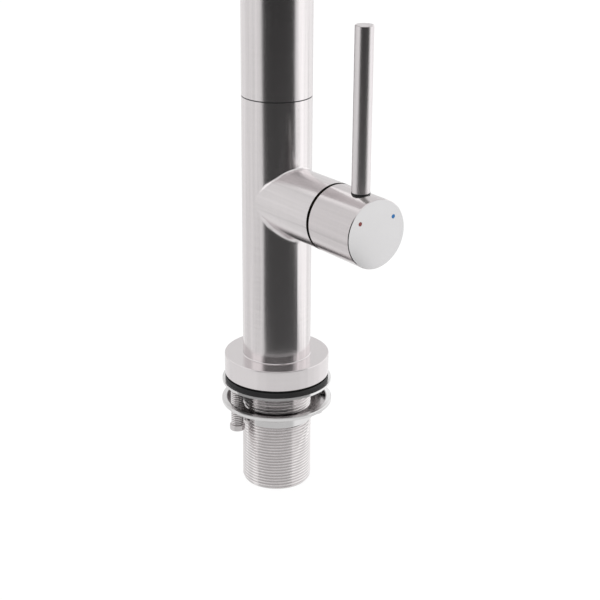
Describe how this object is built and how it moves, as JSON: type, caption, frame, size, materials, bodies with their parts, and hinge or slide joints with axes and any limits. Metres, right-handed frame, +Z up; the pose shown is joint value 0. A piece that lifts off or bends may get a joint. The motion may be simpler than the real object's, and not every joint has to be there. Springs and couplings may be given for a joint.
{
  "type": "kitchen mixer tap",
  "caption": "Kitchen mixer tap: round column, side valve with a straight lever, swivelling spout, base flange, and a threaded shank with gasket, washer and flange nut for a worktop hole.",
  "frame": {"origin": "on the column's axis, at the plane of the worktop's surface that the base seal rests on", "axes": "+Z up along the column; +X along the side valve's axis, out through the handle; -Y towards the user, the way the spout points at rest"},
  "size_m": [0.0973, 0.2403, 0.3402],
  "materials": {
    "brushed_steel": "fine brushed stainless steel",
    "plated_thread": "nickel plating with machining marks",
    "zinc_steel": "zinc-plated steel, satin",
    "plain_steel": "turned steel",
    "dark_steel": "blackened steel, slightly oily",
    "brass": "machined brass",
    "rubber": "black rubber, matt",
    "black_plastic": "black acetal",
    "white_plastic": "white acetal",
    "ceramic": "polished alumina; gloss_plastic stands in for ceramic",
    "hot_red": "red enamel dot",
    "cold_blue": "blue enamel dot"
  },
  "bodies": {
    "tap_base": {"column_body": "brushed_steel", "base_flange": "brushed_steel", "base_seal": "rubber", "threaded_shank": "plated_thread", "water_block": "brass", "swivel_nipple": "brass", "nipple_orings": "rubber", "glide_ring": "black_plastic", "port_seals": "rubber", "cartridge_shell": "white_plastic", "cartridge_base": "white_plastic", "fixed_disc": "ceramic", "cartridge_nut": "brass", "mouth_liner": "black_plastic"},
    "mixing_rotor": {"spindle_collar": "black_plastic", "collar_oring": "rubber", "spindle_pin": "plain_steel"},
    "disc_slider": {"moving_disc": "ceramic", "disc_carrier": "black_plastic"},
    "handle": {"spindle": "brass", "handle_cap": "brushed_steel", "lever_rod": "brushed_steel", "lever_stud": "plain_steel", "lever_washer": "rubber", "cap_grub_screw": "dark_steel", "hot_dot": "hot_red", "cold_dot": "cold_blue"},
    "spout": {"spout_tube": "brushed_steel", "riser_plug": "brushed_steel", "arm_plug": "brushed_steel", "spout_bush": "white_plastic", "spout_lock_screw": "dark_steel", "aerator_shell": "plated_thread", "aerator_core": "white_plastic", "aerator_screen": "plain_steel", "aerator_washer": "rubber"},
    "clamp": {"clamp_gasket": "rubber", "clamp_washer": "zinc_steel", "flange_nut": "zinc_steel"},
    "screw_front": {"clamp_screw_front": "dark_steel"},
    "screw_back": {"clamp_screw_back": "dark_steel"}
  },
  "joints": [
    {"name": "spout_swivel", "type": "hinge", "parent": "tap_base", "child": "spout", "pos_m": [0, 0, 0.1351], "axis": [0, 0, 1], "continuous": true},
    {"name": "temperature_turn", "type": "hinge", "parent": "tap_base", "child": "mixing_rotor", "pos_m": [0.03, 0, 0.0891], "axis": [1, 0, 0], "range_deg": [-50, 50]},
    {"name": "flow_lift", "type": "hinge", "parent": "mixing_rotor", "child": "handle", "pos_m": [0.051, 0, 0.0891], "axis": [0, 1, 0], "range_deg": [0, 20]},
    {"name": "disc_slide", "type": "slide", "parent": "mixing_rotor", "child": "disc_slider", "axis": [0, 0, 1], "range_m": [0, 0.0042]},
    {"name": "nut_run", "type": "slide", "parent": "tap_base", "child": "clamp", "axis": [0, 0, -1], "range_m": [0, 0.03]},
    {"name": "screw_front_run", "type": "slide", "parent": "clamp", "child": "screw_front", "axis": [0, 0, -1], "range_m": [0, 0.006]},
    {"name": "screw_back_run", "type": "slide", "parent": "clamp", "child": "screw_back", "axis": [0, 0, -1], "range_m": [0, 0.006]}
  ],
  "couplings": [
    {"joint": "disc_slide", "follows": "flow_lift", "m_per_rad": 0.011757}
  ]
}
